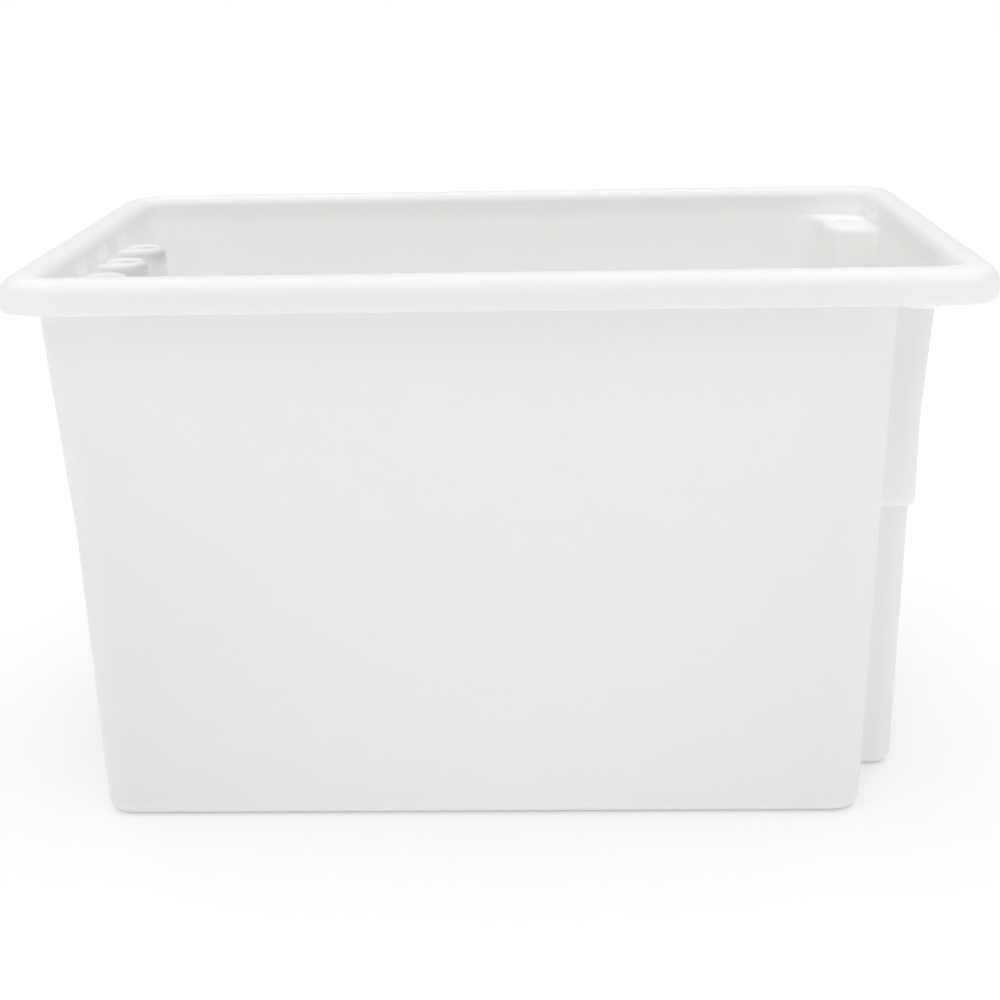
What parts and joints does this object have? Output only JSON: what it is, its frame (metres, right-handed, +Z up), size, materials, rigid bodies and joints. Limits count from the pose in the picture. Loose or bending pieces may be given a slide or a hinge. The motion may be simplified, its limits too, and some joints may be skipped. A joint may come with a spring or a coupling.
{
  "type": "stacking crate",
  "caption": "Deep white plastic storage crate with a turned-down rim, corner notches and end channels, made to stack when turned end for end and nest when not.",
  "frame": {"origin": "on the floor under the middle of the crate, at the bottom centre of its bounding box", "axes": "+X to the right along the length, towards the notched end; +Y to the back across the width; +Z up"},
  "size_m": [0.645, 0.413, 0.397],
  "materials": {
    "white_plastic": "satin moulded high-density polyethylene, slightly warm white, with a very fine moulded grain"
  },
  "bodies": {
    "root": {"column_shelf_back": "white_plastic", "column_shelf_front": "white_plastic", "column_shelf_middle": "white_plastic", "corner_post_left_back": "white_plastic", "corner_post_left_front": "white_plastic", "corner_post_right_back": "white_plastic", "corner_post_right_front": "white_plastic", "end_panel_lower": "white_plastic", "end_panel_upper": "white_plastic", "end_wall_left_back": "white_plastic", "end_wall_left_front": "white_plastic", "end_wall_left_top": "white_plastic", "floor_centre": "white_plastic", "floor_left_back": "white_plastic", "floor_left_front": "white_plastic", "floor_right_end": "white_plastic", "left_column_back": "white_plastic", "left_column_front": "white_plastic", "left_column_middle": "white_plastic", "notch_ledge_back": "white_plastic", "notch_ledge_front": "white_plastic", "notch_wall_lower_back": "white_plastic", "notch_wall_lower_front": "white_plastic", "notch_wall_upper_back": "white_plastic", "notch_wall_upper_front": "white_plastic", "rim_corner_left_back": "white_plastic", "rim_corner_left_front": "white_plastic", "rim_corner_right_back": "white_plastic", "rim_corner_right_front": "white_plastic", "rim_flange_back": "white_plastic", "rim_flange_front": "white_plastic", "rim_flange_left": "white_plastic", "rim_flange_right": "white_plastic", "rim_lip_back": "white_plastic", "rim_lip_front": "white_plastic", "rim_lip_left": "white_plastic", "rim_lip_right": "white_plastic", "shelf_surround_back": "white_plastic", "shelf_surround_front": "white_plastic", "side_wall_lower_back": "white_plastic", "side_wall_lower_front": "white_plastic", "side_wall_upper_back": "white_plastic", "side_wall_upper_front": "white_plastic", "stack_shelf_back": "white_plastic", "stack_shelf_front": "white_plastic"}
  },
  "joints": []
}
